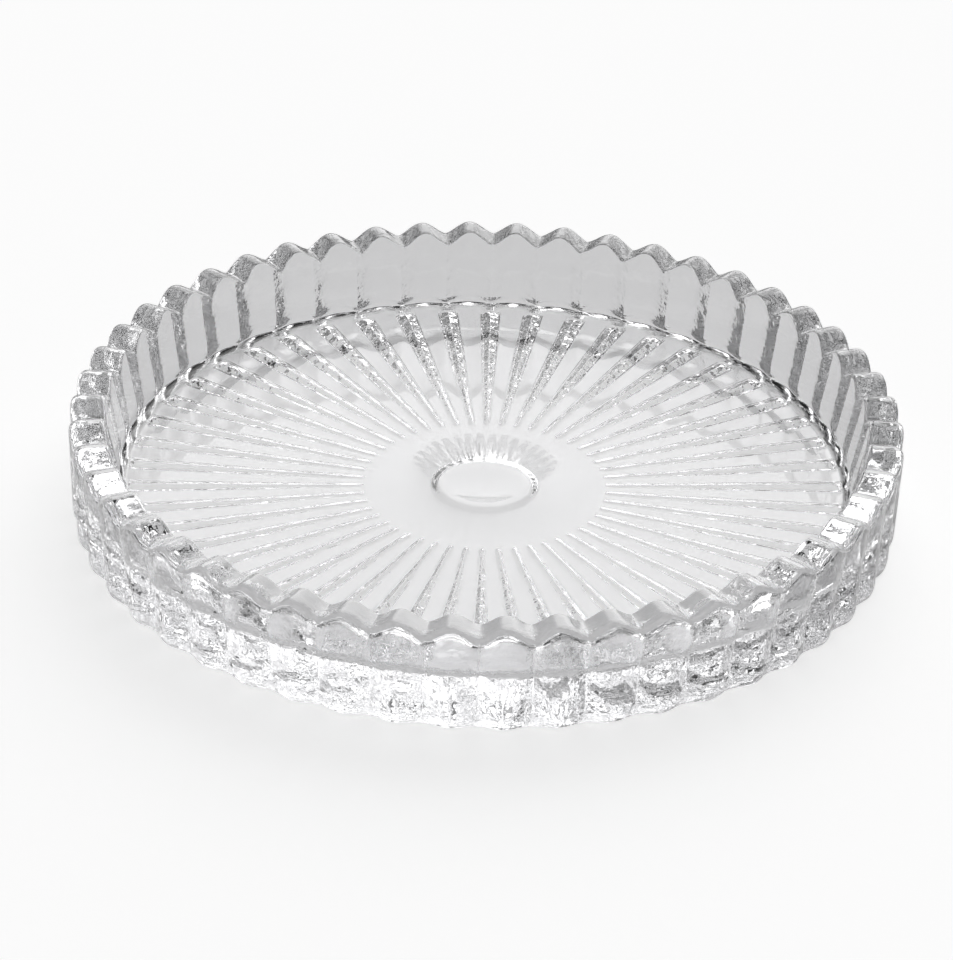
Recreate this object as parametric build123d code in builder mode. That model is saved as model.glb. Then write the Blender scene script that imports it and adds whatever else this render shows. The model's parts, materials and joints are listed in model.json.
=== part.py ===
# Candle plate of clear pressed glass: one piece, pressed in a single stroke.
# Millimetres, +Z up. The origin is on the table, on the plate's axis.

import os
from math import asin, atan2, cos, hypot, radians, sin, tan

from build123d import *

# Body
rim_diameter = 135.0        # across two opposite rib crests, just under the rim
height = 18.0               # table to the top of a tooth
floor_thickness = 6.0       # table to the inside floor
rim_width = 5.6             # inside edge to rib crest, along the top of a tooth
outer_draft = 2.0           # degrees that the ribs lean out
inner_draft = 13.0          # degrees that the inside wall leans out
corner_bevel = 2.0          # inside wall into floor

# Ribs and teeth: each rib carries one tooth
rib_count = 50
rim_relief = 0.9            # rib crest above the grooves beside it, at the rim
foot_relief = 1.6           # the same at the foot
groove_flat = 0.3           # bottom of a groove between two ribs, at the foot
rib_foot_bevel = 2.2        # lower end of a rib
tooth_rise = 2.0            # tooth top above the valleys beside it
tooth_tip_radius = 3.0      # roundness of a tooth along its top
tooth_end_bevel = 1.2       # where the top of a tooth turns down into its rib

# Sunburst under the floor: each rib turns under the foot and runs on as a reed, with grooves between reeds
disc_radius = 19.5          # plain disc in the middle
foot_width = 8.0            # crests of the ribs that stand on the table
disc_clearance = 0.6        # disc above the table, the reeds fall from there to the foot
reed_side_slope = 45.0      # degrees, where two reeds meet
reed_land = 0.3             # flat crest between two grooves at the wall
disc_groove_depth = 0.5     # grooves where they meet the disc
dish_radius = 9.0           # shallow round dish in the middle of the disc
dish_depth = 0.9
dish_side_slope = 45.0      # degrees

overcut = 2.0               # how far cutting shapes reach past the glass

# Derived sizes
rim_radius = rim_diameter / 2
half_pitch = radians(180 / rib_count)
rim_level = height - tooth_end_bevel
outer_slope = tan(radians(outer_draft))
inner_slope = tan(radians(inner_draft))

# A rib is a round column on a core that tapers more than the ribs lean, so grooves deepen downwards.
foot_radius = rim_radius - rim_level * outer_slope
core_rim_radius = rim_radius - rim_relief
core_foot_radius = foot_radius - foot_relief
rib_half_chord = core_foot_radius * sin(half_pitch) - groove_flat / 2
rib_sagitta = foot_radius - core_foot_radius * cos(half_pitch)
rib_radius = (rib_half_chord**2 + rib_sagitta**2) / (2 * rib_sagitta)

# A tooth is a bar that points at the axis: a roof with a rounded ridge, from its top to two valleys.
tooth_half_chord = (rim_radius - rim_width / 2) * sin(half_pitch)
ridge_drop = tooth_tip_radius - tooth_rise
ridge_turn = asin(tooth_tip_radius / hypot(tooth_half_chord, ridge_drop))
tooth_slope = ridge_turn - atan2(ridge_drop, tooth_half_chord)
ridge_level = height + tooth_tip_radius * (1 / cos(tooth_slope) - 1)
crown_level = height - tooth_rise - overcut

bowl_radius = rim_radius - rim_width
bowl_foot_radius = bowl_radius - (height - floor_thickness) * inner_slope
foot_edge_radius = foot_radius - rib_foot_bevel
hollow_radius = foot_edge_radius - foot_width

os.makedirs("parts", exist_ok=True)

# One rib, from below the table to above the rim
with BuildPart() as rib:
    axis_at_table = foot_radius - rib_radius / cos(radians(outer_draft))
    start = (axis_at_table - overcut * outer_slope, 0, -overcut)
    with BuildSketch(Plane(origin=start, x_dir=(0, 1, 0), z_dir=(outer_slope, 0, 1))):
        Circle(rib_radius)
    extrude(amount=height + 3 * overcut)

# One tooth, a bar from inside the bowl to outside the ribs, with its outer end bevelled
with BuildPart() as tooth:
    with BuildSketch(Plane.YZ.offset(bowl_foot_radius - overcut)) as roof:
        half_base = (ridge_level - crown_level) / tan(tooth_slope)
        with BuildLine():
            Polyline((-half_base, crown_level), (0, ridge_level), (half_base, crown_level), close=True)
        make_face()
        ridge = roof.vertices().sort_by(Axis.Y)[-1]
        fillet(ridge, radius=tooth_tip_radius)
    extrude(amount=rim_radius - bowl_foot_radius + 2 * overcut)
    split(bisect_by=Plane(origin=(rim_radius, 0, rim_level), z_dir=(1, 0, 1)), keep=Keep.BOTTOM)

# Crown: everything that lies under the toothed top
with BuildPart() as crown:
    with BuildSketch(Plane.XY.offset(-overcut)):
        Circle(rim_radius + overcut)
    extrude(amount=crown_level + overcut)
    with PolarLocations(0, rib_count):
        add(tooth.part)

# One groove of the sunburst, between the round sides of two reeds, shallower towards the disc
with BuildPart() as groove:
    half_width = foot_radius * sin(half_pitch) - reed_land / 2
    depth = half_width * tan(radians(reed_side_slope / 2))
    fall = (depth - disc_clearance - disc_groove_depth) / (foot_radius - disc_radius)
    outer_end = Plane(origin=(foot_radius, 0, 0), x_dir=(0, -1, 0), z_dir=(-1, 0, -fall))
    with BuildSketch(outer_end):
        with BuildLine():
            TangentArc((-half_width, 0), (0, depth), tangent=(1, 0))
            TangentArc((half_width, 0), (0, depth), tangent=(-1, 0))
            Polyline((-half_width, 0), (-half_width, -overcut), (half_width, -overcut), (half_width, 0))
        make_face()
    extrude(amount=foot_radius - disc_radius)

with BuildPart() as glass_plate:
    # Ring of ribs on a straight drum, then the taper that fills the grooves
    with BuildSketch(Plane.XY.offset(-overcut)):
        Circle(axis_at_table + rib_radius / 2)
    extrude(amount=height + 2 * overcut)
    with PolarLocations(0, rib_count):
        add(rib.part)
    with BuildSketch(Plane.XZ):
        with BuildLine():
            Polyline(
                (0, 0),
                (core_foot_radius, 0),
                (core_rim_radius, rim_level),
                (core_rim_radius, height),
                (0, height),
                close=True,
            )
        make_face()
    revolve(axis=Axis.Z)

    # Table plane, with the ribs bevelled at the foot
    with BuildSketch(Plane.XZ):
        with BuildLine():
            Polyline(
                (0, 0),
                (foot_edge_radius, 0),
                (foot_radius + overcut, rib_foot_bevel + overcut),
                (rim_radius + overcut, height),
                (0, height),
                close=True,
            )
        make_face()
    revolve(axis=Axis.Z, mode=Mode.INTERSECT)

    # Toothed rim
    add(crown.part, mode=Mode.INTERSECT)

    # Smooth inside
    with BuildSketch(Plane.XZ) as bowl:
        with BuildLine():
            Polyline(
                (0, floor_thickness),
                (bowl_foot_radius, floor_thickness),
                (bowl_radius + overcut * inner_slope, height + overcut),
                (0, height + overcut),
                close=True,
            )
        make_face()
        corner = bowl.vertices().group_by(Axis.Y)[0].sort_by(Axis.X)[-1]
        chamfer(corner, length=corner_bevel)
    revolve(axis=Axis.Z, mode=Mode.SUBTRACT)

    # Shallow hollow inside the foot, the grooves, and the dish in the middle
    with BuildSketch(Plane.XZ):
        with BuildLine():
            Polyline(
                (0, 0),
                (hollow_radius, 0),
                (disc_radius, disc_clearance),
                (0, disc_clearance),
                close=True,
            )
        make_face()
    revolve(axis=Axis.Z, mode=Mode.SUBTRACT)
    with PolarLocations(0, rib_count, start_angle=180 / rib_count):
        add(groove.part, mode=Mode.SUBTRACT)
    with BuildSketch(Plane.XY.offset(disc_clearance)):
        Circle(dish_radius)
    extrude(amount=dish_depth, taper=90 - dish_side_slope, mode=Mode.SUBTRACT)

glass_plate.part.label = "glass_plate"
export_step(glass_plate.part, "parts/glass_plate.step")
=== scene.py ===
import json
from math import cos, pi, radians, sin, tan

import bpy
import numpy as np
from mathutils import Matrix, Vector


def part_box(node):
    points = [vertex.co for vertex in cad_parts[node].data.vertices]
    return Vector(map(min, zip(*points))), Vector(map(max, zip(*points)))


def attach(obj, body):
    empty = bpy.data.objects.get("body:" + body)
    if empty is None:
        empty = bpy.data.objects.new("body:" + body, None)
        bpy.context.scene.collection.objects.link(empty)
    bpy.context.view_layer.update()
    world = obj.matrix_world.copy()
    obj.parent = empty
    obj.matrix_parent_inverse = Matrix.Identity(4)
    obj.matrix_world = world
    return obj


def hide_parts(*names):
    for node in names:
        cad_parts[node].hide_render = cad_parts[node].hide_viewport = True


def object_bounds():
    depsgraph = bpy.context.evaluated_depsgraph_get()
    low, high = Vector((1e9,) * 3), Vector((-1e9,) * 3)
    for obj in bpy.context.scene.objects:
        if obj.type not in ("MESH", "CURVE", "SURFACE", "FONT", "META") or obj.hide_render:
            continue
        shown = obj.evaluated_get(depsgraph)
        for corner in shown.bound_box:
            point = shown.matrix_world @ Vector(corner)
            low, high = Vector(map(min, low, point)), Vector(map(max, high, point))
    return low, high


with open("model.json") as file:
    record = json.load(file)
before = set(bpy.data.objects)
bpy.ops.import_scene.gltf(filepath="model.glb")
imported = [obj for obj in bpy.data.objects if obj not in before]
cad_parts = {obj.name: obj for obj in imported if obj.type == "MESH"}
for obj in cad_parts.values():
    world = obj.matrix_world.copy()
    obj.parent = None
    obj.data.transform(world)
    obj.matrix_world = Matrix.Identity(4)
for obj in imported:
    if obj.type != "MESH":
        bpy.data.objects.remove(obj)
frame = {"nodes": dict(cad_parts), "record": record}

cadLow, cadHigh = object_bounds()
mm = 0.001
print("frame loaded, nodes:", sorted(frame["nodes"]))


def hexToLinear(code):
    # sRGB hex to linear RGBA
    channels = [int(code[i:i + 2], 16) / 255 for i in (1, 3, 5)]
    linear = [c / 12.92 if c <= 0.04045 else ((c + 0.055) / 1.055) ** 2.4 for c in channels]
    return (*linear, 1.0)


def addNode(tree, kind, links=(), inputs=(), **settings):
    # one node: its settings, its constant inputs, and links from source sockets
    node = tree.nodes.new(kind)
    for name, value in settings.items():
        setattr(node, name, value)
    for name, value in dict(inputs).items():
        node.inputs[name].default_value = value
    for name, source in dict(links).items():
        tree.links.new(source, node.inputs[name])
    return node


# Glass plate: one skin, from the middle of the floor over the toothed rim to the middle of the underside

plate = {
    "ribCount": 50,             # ribs, teeth and reeds
    "rimWidth": 5.6,            # mm, inside edge to rib crest along the top of a tooth
    "outerDraft": 2.0,          # degrees that the ribs lean out
    "innerDraft": 13.0,         # degrees that the inside wall leans out
    "rimRelief": 0.15,          # mm, rib crest above the grooves at the rim
    "footRelief": 1.7,          # mm, the same at the foot
    "tableRelief": 0.9,         # mm, the same where the foot meets the table
    "ribRound": 0.3,            # 0 for round ribs with sharp grooves, 1 for an even wave
    "toothRound": 0.7,          # the same for the teeth
    "toothRise": 2.0,           # mm, tooth above the valleys
    "cornerReach": 2.6,         # mm, rounding of the inside wall into the floor
    "innerRimReach": 0.8,       # mm, rounding of the rim's inner edge
    "outerRimReach": 2.0,       # mm, rounding of the rim's outer edge
    "footRise": 3.0,            # mm, height over which a rib turns under the foot
    "footDepth": 0.8,           # mm, how far it comes in on the way
    "footWidth": 10.0,          # mm, part of the underside that stands on the table
    "reedEndRadius": 60.5,      # mm, where the grooves between reeds begin
    "reedRunOut": 3.0,          # mm, length over which they come to their depth there
    "reedSlope": 42.0,          # degrees, sides of a groove at the foot
    "discSlope": 24.0,          # degrees, the same at the disc
    "reedShare": 0.45,          # part of the width that the grooves take, the rest is flat crests
    "reedSoftness": 0.1,        # mm, rounding at the bottom of a groove
    "discRadius": 19.5,         # mm, plain disc in the middle
    "discClearance": 0.5,       # mm, disc above the table
    "discRunOut": 1.2,          # mm, length over which the grooves run out there
    "dishRadius": 9.0,          # mm, shallow round dish in the middle of the disc
    "dishDepth": 0.9,           # mm
    "dishSlopeWidth": 1.6,      # mm
    "dishDome": 0.35,           # mm, how far the middle of the dish swells back
    "crestGrain": 0.3,          # mould grain on the crest of a rib, 1 in the grooves beside it
    "reedGrain": 4.0,           # the same in the grooves under the floor
    "grainDepth": 0.2,          # mm, depth at which a groove has all of it
    "columnsPerRib": 28,
    "columnCrowd": 0.55,        # how much the columns crowd into the grooves, 0 for even ones
    "floorRingShare": 1 / 14,   # first ring of the floor, part of the floor's radius
    "rings": {"corner": 9, "innerRim": 6, "outerRim": 9, "foot": 12, "reedEnd": 7, "reed": 10,
              "discEdge": 5, "dishEdge": 7, "dishFloor": 6},        # how many on each stretch
}


def smooth(value):
    # smoothstep of a value clipped to 0..1
    t = np.clip(value, 0.0, 1.0)
    return t * t * (3 - 2 * t)


def roundedCorner(before, corner, after, reach, count):
    # quadratic Bezier that leaves one side a reach before the corner and joins the other a reach after it
    back = before - corner
    on = after - corner
    start = corner + reach * back / np.linalg.norm(back, axis=-1, keepdims=True)
    end = corner + reach * on / np.linalg.norm(on, axis=-1, keepdims=True)
    t = np.linspace(0, 1, count)[:, None, None]
    return (1 - t) ** 2 * start + 2 * t * (1 - t) * corner + t ** 2 * end


def ribColumns(p):
    # angle of each column, and its place across its rib: 0 on the crest, -1 and 1 in the grooves beside it
    even = np.arange(p["columnsPerRib"]) / p["columnsPerRib"] * 2 - 1
    crowded = (1 - p["columnCrowd"]) * even + p["columnCrowd"] * np.sin(pi / 2 * even)
    across = np.tile(crowded, p["ribCount"])
    rib = np.repeat(np.arange(p["ribCount"]), p["columnsPerRib"])
    return (rib * 2 + across) * (pi / p["ribCount"]), across


def wave(across, softness):
    # swell of ribs and teeth, 0 on a crest and 1 in a groove: a mix of a parabola and a sine squared
    return (1 - softness) * across ** 2 + softness * np.sin(pi / 2 * across) ** 2


def ring(across, r, z):
    # a point (r, z) for each column, in one ring or, where r or z has several rows, in as many rings
    ones = np.ones(len(across))
    return np.stack([r * ones, z * ones], -1)


def wallRings(p, across, rimRadius, height, floorLevel):
    # rings of (r, z) in mm: inside from the middle of the floor to the rim, outside from there to the table
    count = p["rings"]
    ribs = wave(across, p["ribRound"])
    top = height - p["toothRise"] * wave(across, p["toothRound"])

    # inside: flat floor, straight wall that leans out
    innerSlope = tan(radians(p["innerDraft"]))
    cornerRadius = rimRadius - p["rimWidth"] - (height - floorLevel) * innerSlope
    middle = ring(across, 0, floorLevel)
    corner = ring(across, cornerRadius, floorLevel)
    innerEdge = ring(across, cornerRadius + (top - floorLevel) * innerSlope, top)

    # outside: ribs that lean out, whose grooves deepen downwards
    outerSlope = tan(radians(p["outerDraft"]))

    def outside(z):
        down = (height - z) / (height - p["footRise"])
        relief = p["rimRelief"] + (p["footRelief"] - p["rimRelief"]) * down
        return ring(across, rimRadius - (height - z) * outerSlope - relief * ribs, z)

    outerEdge = outside(top)
    foot = outside(p["footRise"])

    # foot: a quarter of an ellipse, on which the ribs soften into an even wave
    footRadius = rimRadius - (height - p["footRise"]) * outerSlope
    turn = np.linspace(0, pi / 2, count["foot"])[:, None]
    share = smooth(turn / (pi / 2))
    relief = (1 - share) * p["footRelief"] * ribs + share * p["tableRelief"] * wave(across, 1)
    footR = footRadius - p["footDepth"] * (1 - np.cos(turn)) - relief
    footZ = p["footRise"] * (1 - np.sin(turn))

    inner = np.concatenate([
        ring(across, cornerRadius * p["floorRingShare"], floorLevel)[None],
        roundedCorner(middle, corner, innerEdge, p["cornerReach"], count["corner"]),
        roundedCorner(corner, innerEdge, outerEdge, p["innerRimReach"], count["innerRim"]),
    ])
    outer = np.concatenate([
        roundedCorner(innerEdge, outerEdge, foot, p["outerRimReach"], count["outerRim"]),
        ring(across, footR, footZ),
    ])
    return inner, outer


def undersideRings(p, across, tableRadius):
    # rings of (r, z) in mm from the ends of the grooves to the middle of the dish, and the grain on them
    count = p["rings"]
    reedEnd = p["reedEndRadius"]
    reedEnds = np.linspace(reedEnd, reedEnd - p["reedRunOut"], count["reedEnd"])
    reeds = np.linspace(reedEnds[-1], p["discRadius"] + p["discRunOut"], count["reed"])[1:]
    discEdge = np.linspace(reeds[-1], p["discRadius"], count["discEdge"])[1:]
    dishFoot = p["dishRadius"] - p["dishSlopeWidth"]
    dishEdge = np.linspace(p["dishRadius"], dishFoot, count["dishEdge"])
    dishFloor = np.linspace(dishFoot, 0, count["dishFloor"])[1:-1]
    r = np.concatenate([reedEnds, reeds, discEdge, dishEdge, dishFloor])[:, None]

    # groove between two reeds: two flat sides, narrower and flatter towards the disc, run out at both ends
    outward = np.clip((r - p["discRadius"]) / (reedEnd - p["discRadius"]), 0, 1)
    slope = np.radians((1 - outward) * p["discSlope"] + outward * p["reedSlope"])
    halfPitch = r * (pi / p["ribCount"])        # from a crest to the groove beside it
    aside = np.hypot(halfPitch * (1 - np.abs(across)), p["reedSoftness"])
    ends = smooth((reedEnd - r) / p["reedRunOut"]) * smooth((r - p["discRadius"]) / p["discRunOut"])
    groove = np.tan(slope) * np.maximum(p["reedShare"] * halfPitch - aside, 0) * ends

    # underside: rises a little from the foot to the disc, then the dish with its domed middle
    hollowRadius = tableRadius - p["footWidth"]
    lift = p["discClearance"] * np.clip((hollowRadius - r) / (hollowRadius - p["discRadius"]), 0, 1)
    dome = p["dishDome"] * np.clip(1 - (r / dishFoot) ** 2, 0, 1)
    dish = smooth((p["dishRadius"] - r) / p["dishSlopeWidth"]) * (p["dishDepth"] - dome)
    grain = p["reedGrain"] * outward * smooth(groove / p["grainDepth"])
    return ring(across, r, lift + groove + dish), grain


def plateRings(p, rimRadius, height, floorLevel):
    # all rings, the angle of each column, and the share of mould grain at each point: none on the side of
    # the plunger, most in the grooves, where the mould was cut
    angle, across = ribColumns(p)
    inner, outer = wallRings(p, across, rimRadius, height, floorLevel)
    tableRadius = outer[-1, :, 0].max()
    under, reedGrain = undersideRings(p, across, tableRadius)
    wallGrain = p["crestGrain"] + (1 - p["crestGrain"]) * np.tile(across ** 2, (len(outer), 1))
    grain = np.concatenate([np.zeros(inner.shape[:2]), wallGrain, reedGrain])
    return np.concatenate([inner, outer, under]), angle, grain


def ringMesh(name, rings, angle, topPole, bottomPole):
    # closed skin: rings turned to x and y, joined by quads, with a fan of triangles at each pole
    levels, count, _ = rings.shape
    places = np.empty((levels * count + 2, 3))
    places[:-2, 0] = (rings[..., 0] * np.cos(angle)).ravel()
    places[:-2, 1] = (rings[..., 0] * np.sin(angle)).ravel()
    places[:-2, 2] = rings[..., 1].ravel()
    places[-2] = (0, 0, topPole)
    places[-1] = (0, 0, bottomPole)
    here = np.arange(count)
    beside = np.roll(here, -1)
    row = np.arange(levels - 1)[:, None] * count
    below = row + count
    quads = np.stack([row + here, below + here, below + beside, row + beside], -1).reshape(-1, 4)
    last = (levels - 1) * count
    topFan = np.stack([np.full(count, levels * count), here, beside], -1)
    bottomFan = np.stack([np.full(count, levels * count + 1), last + beside, last + here], -1)
    loops = np.concatenate([quads.ravel(), topFan.ravel(), bottomFan.ravel()])
    sizes = np.concatenate([np.full(len(quads), 4), np.full(2 * count, 3)])
    starts = np.concatenate([[0], np.cumsum(sizes)[:-1]])
    mesh = bpy.data.meshes.new(name)
    mesh.vertices.add(len(places))
    mesh.vertices.foreach_set("co", (places * mm).ravel())
    mesh.loops.add(len(loops))
    mesh.loops.foreach_set("vertex_index", loops.astype(np.int32))
    mesh.polygons.add(len(sizes))
    mesh.polygons.foreach_set("loop_start", starts.astype(np.int32))
    mesh.polygons.foreach_set("loop_total", sizes.astype(np.int32))
    mesh.update(calc_edges=True)
    mesh.validate()
    mesh.shade_smooth()
    return mesh


def makePlate():
    # rim radius, height and floor level come from the frame
    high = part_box("glass_plate")[1]
    seat = next(m for m in frame["record"]["mounts"] if m["name"] == "candle_seat")
    floorLevel = seat["pos_m"][2] / mm
    rings, angle, grain = plateRings(plate, high[0] / mm, high[2] / mm, floorLevel)
    underMiddle = plate["discClearance"] + plate["dishDepth"] - plate["dishDome"]
    mesh = ringMesh("pressedPlate", rings, angle, floorLevel, underMiddle)
    mouldGrain = np.append(grain, [0, 0]).astype(np.float32)        # none at the two poles
    mesh.attributes.new("mouldGrain", "FLOAT", "POINT").data.foreach_set("value", mouldGrain)
    mesh.materials.append(makeGlass())
    piece = bpy.data.objects.new("pressedPlate", mesh)
    bpy.context.scene.collection.objects.link(piece)
    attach(piece, "root")
    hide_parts("glass_plate")
    triangles = sum(len(face.vertices) - 2 for face in mesh.polygons)
    print("glass plate made:", len(mesh.vertices), "points,", triangles, "triangles")


# Pressed soda-lime glass, fire-polished: clear with a breath of grey where it is thick, a bright skin, a soft
# ripple all over, and in the grooves the mould's grain, which breaks up what is seen through them.

glass = {
    "tint": "#FCFCFD",
    "ior": 1.52,
    "absorbColour": "#DADADC",
    "absorbDensity": 3.0,       # per metre
    "rippleSize": 7.0,          # mm
    "rippleHeight": 0.006,      # mm
    "rippleDetail": 1.0,
    "grainSize": 2.2,           # mm, grain of the mould
    "grainHeight": 0.35,        # mm
    "grainDetail": 2.0,
    "smearSize": 18.0,          # mm, patches that are a little less polished
    "smearDetail": 2.0,
    "smearFrom": (0.4, 0.7),    # levels of the pattern between which the polish falls
    "smearRough": (0.0, 0.02),  # roughness there
}


def makeGlass():
    material = bpy.data.materials.new("pressedSodaLimeGlass")
    material.use_nodes = True
    tree = material.node_tree
    tree.nodes.clear()
    place = addNode(tree, "ShaderNodeTexCoord").outputs["Object"]

    def pattern(name):
        noise = addNode(tree, "ShaderNodeTexNoise", {"Vector": place},
                        {"Scale": 1 / (glass[name + "Size"] * mm), "Detail": glass[name + "Detail"]})
        return noise.outputs["Fac"]

    ripple = addNode(tree, "ShaderNodeBump", {"Height": pattern("ripple")},
                     {"Strength": 1.0, "Distance": glass["rippleHeight"] * mm})
    mouldGrain = addNode(tree, "ShaderNodeAttribute", attribute_name="mouldGrain").outputs["Fac"]
    grain = addNode(tree, "ShaderNodeMath", {0: pattern("grain"), 1: mouldGrain}, operation="MULTIPLY")
    bump = addNode(tree, "ShaderNodeBump", {"Height": grain.outputs[0], "Normal": ripple.outputs["Normal"]},
                   {"Strength": 1.0, "Distance": glass["grainHeight"] * mm})
    fromLow, fromHigh = glass["smearFrom"]
    roughLow, roughHigh = glass["smearRough"]
    rough = addNode(tree, "ShaderNodeMapRange", {"Value": pattern("smear")},
                    {"From Min": fromLow, "From Max": fromHigh, "To Min": roughLow, "To Max": roughHigh})
    skin = addNode(tree, "ShaderNodeBsdfPrincipled",
                   {"Roughness": rough.outputs["Result"], "Normal": bump.outputs["Normal"]},
                   {"Base Color": hexToLinear(glass["tint"]), "IOR": glass["ior"],
                    "Transmission Weight": 1.0})
    body = addNode(tree, "ShaderNodeVolumeAbsorption", inputs={
        "Color": hexToLinear(glass["absorbColour"]), "Density": glass["absorbDensity"]})
    addNode(tree, "ShaderNodeOutputMaterial",
            {"Surface": skin.outputs["BSDF"], "Volume": body.outputs["Volume"]})
    return material


# Table: a pale matte sheet in a dark room. For the camera it is white all over, with the plate's shadow.
# Glass rays see it pale near the plate and painted black farther out, a painted shade that gives the ribs and
# teeth their dark lines.

table = {
    "halfWidth": 1600.0,        # mm
    "gap": 0.2,                 # mm of air under the foot
    "colour": "#D8D8D8",
    # painted shade: black that only glass rays see on the table beyond the sheet's edge
    "paintedDarkColour": "#000000",
    "cameraGlow": 0.72,         # lifts the table to white for the camera
    "glassGlow": 0.39,          # the same in the glass, where it stays pale grey
    "paintedDarkEdge": (110.0, 150.0),        # mm from the plate's axis, where the sheet fades into painted black for glass rays only
}


def makeTable():
    far = table["halfWidth"] * mm
    level = -table["gap"] * mm
    corners = [(-far, -far, level), (far, -far, level), (far, far, level), (-far, far, level)]
    mesh = bpy.data.meshes.new("tableTop")
    mesh.from_pydata(corners, [], [(0, 1, 2, 3)])
    top = bpy.data.objects.new("tableTop", mesh)
    bpy.context.scene.collection.objects.link(top)
    material = bpy.data.materials.new("matteTable")
    material.use_nodes = True
    tree = material.node_tree
    tree.nodes.clear()
    path = addNode(tree, "ShaderNodeLightPath").outputs
    glassy = addNode(tree, "ShaderNodeMath", {0: path["Is Glossy Ray"], 1: path["Is Transmission Ray"]},
                     operation="MAXIMUM").outputs[0]
    through = addNode(tree, "ShaderNodeMath", {0: glassy}, {1: table["glassGlow"]}, operation="MULTIPLY")
    glow = addNode(tree, "ShaderNodeMath", {0: path["Is Camera Ray"], 2: through.outputs[0]},
                   {1: table["cameraGlow"]}, operation="MULTIPLY_ADD")
    matte = addNode(tree, "ShaderNodeBsdfDiffuse", inputs={"Color": hexToLinear(table["colour"])})
    lit = addNode(tree, "ShaderNodeEmission", {"Strength": glow.outputs[0]})
    sheet = addNode(tree, "ShaderNodeAddShader", {0: matte.outputs[0], 1: lit.outputs[0]})
    place = addNode(tree, "ShaderNodeTexCoord").outputs["Object"]
    away = addNode(tree, "ShaderNodeVectorMath", {0: place}, operation="LENGTH")
    start, end = table["paintedDarkEdge"]
    # painted shade: for glass rays only, the table fades from its pale sheet to black between these distances
    paintedDarkShare = addNode(tree, "ShaderNodeMapRange", {"Value": away.outputs["Value"], "To Max": glassy},
                     {"From Min": start * mm, "From Max": end * mm})
    paintedBlack = addNode(tree, "ShaderNodeBsdfDiffuse", inputs={"Color": hexToLinear(table["paintedDarkColour"])})
    seen = addNode(tree, "ShaderNodeMixShader",
                   {0: paintedDarkShare.outputs["Result"], 1: sheet.outputs[0], 2: paintedBlack.outputs[0]})
    addNode(tree, "ShaderNodeOutputMaterial", {"Surface": seen.outputs[0]})
    mesh.materials.append(material)
    print("table made")


# Studio: a large soft light behind the plate, a little to the right, and a dark room on the other sides

studio = {
    "room": 0.02,
    "lightFrom": (0.20, 0.82, 0.53),
    "lightLevel": 3.0,
    "lightCore": 20.0,          # degrees from its middle, at full level up to here
    "lightEdge": 40.0,          # degrees from its middle, faded out here
}


def makeStudio():
    world = bpy.data.worlds.new("studio")
    bpy.context.scene.world = world
    world.use_nodes = True
    tree = world.node_tree
    tree.nodes.clear()
    way = addNode(tree, "ShaderNodeTexCoord").outputs["Generated"]
    path = addNode(tree, "ShaderNodeLightPath").outputs
    toward = addNode(tree, "ShaderNodeVectorMath", {0: way}, {1: Vector(studio["lightFrom"]).normalized()},
                     operation="DOT_PRODUCT")
    level = addNode(tree, "ShaderNodeMapRange", {"Value": toward.outputs["Value"]},
                    {"From Min": cos(radians(studio["lightEdge"])),
                     "From Max": cos(radians(studio["lightCore"])),
                     "To Min": studio["room"], "To Max": studio["room"] + studio["lightLevel"]},
                    interpolation_type="SMOOTHSTEP")
    shown = addNode(tree, "ShaderNodeMix", {"Factor": path["Is Camera Ray"], "A": level.outputs["Result"]},
                    {"B": 1.0}, data_type="FLOAT")
    sky = addNode(tree, "ShaderNodeBackground", {"Strength": shown.outputs["Result"]})
    addNode(tree, "ShaderNodeOutputWorld", {"Surface": sky.outputs[0]})
    print("studio made")


# Camera: fitted to the outline of the rim

shot = {
    "frame": (953, 960),        # px
    "elevation": 29.56,         # degrees above the table
    "roll": 1.92,               # degrees that the plate seems turned clockwise
    "distance": 740.0,          # mm, to the middle of the rim plane
    "focalLength": 4582.0,      # px
    "rimMiddle": (487.2, 409.6),        # px, where the middle of the rim plane lies in the picture
    "sensor": 36.0,             # mm, along the longer side
    "clip": (10.0, 50000.0),    # mm, nearest and farthest
}


def makeCamera():
    data = bpy.data.cameras.new("camera")
    camera = bpy.data.objects.new("camera", data)
    bpy.context.scene.collection.objects.link(camera)
    width, depth = shot["frame"]
    near, far = shot["clip"]
    data.sensor_width = shot["sensor"]
    data.lens = shot["sensor"] * shot["focalLength"] / max(width, depth)
    data.clip_start = near * mm
    data.clip_end = far * mm
    elevation = radians(shot["elevation"])
    roll = radians(shot["roll"])
    right = Vector((1, 0, 0))
    up = Vector((0, sin(elevation), cos(elevation)))
    back = Vector((0, -cos(elevation), sin(elevation)))
    sideways = right * cos(roll) + up * sin(roll)
    upright = up * cos(roll) - right * sin(roll)
    rolled = Matrix((sideways, upright, back)).transposed()
    x, y = shot["rimMiddle"]
    toRim = Vector((x - width / 2, depth / 2 - y, -shot["focalLength"]))
    turn = toRim.rotation_difference(Vector((0, 0, -1))).to_matrix()
    rim = Vector((0, 0, cadHigh[2]))
    place = Matrix.Translation(rim + back * shot["distance"] * mm)
    camera.matrix_world = place @ (rolled @ turn).to_4x4()
    bpy.context.scene.camera = camera
    print("camera made")


makePlate()
makeTable()
makeStudio()
makeCamera()

# light crosses many walls of glass before it leaves the plate
scene = bpy.context.scene
scene.view_settings.view_transform = "Standard"
scene.cycles.max_bounces = 40
scene.cycles.transmission_bounces = 36
scene.cycles.glossy_bounces = 24
scene.cycles.diffuse_bounces = 4
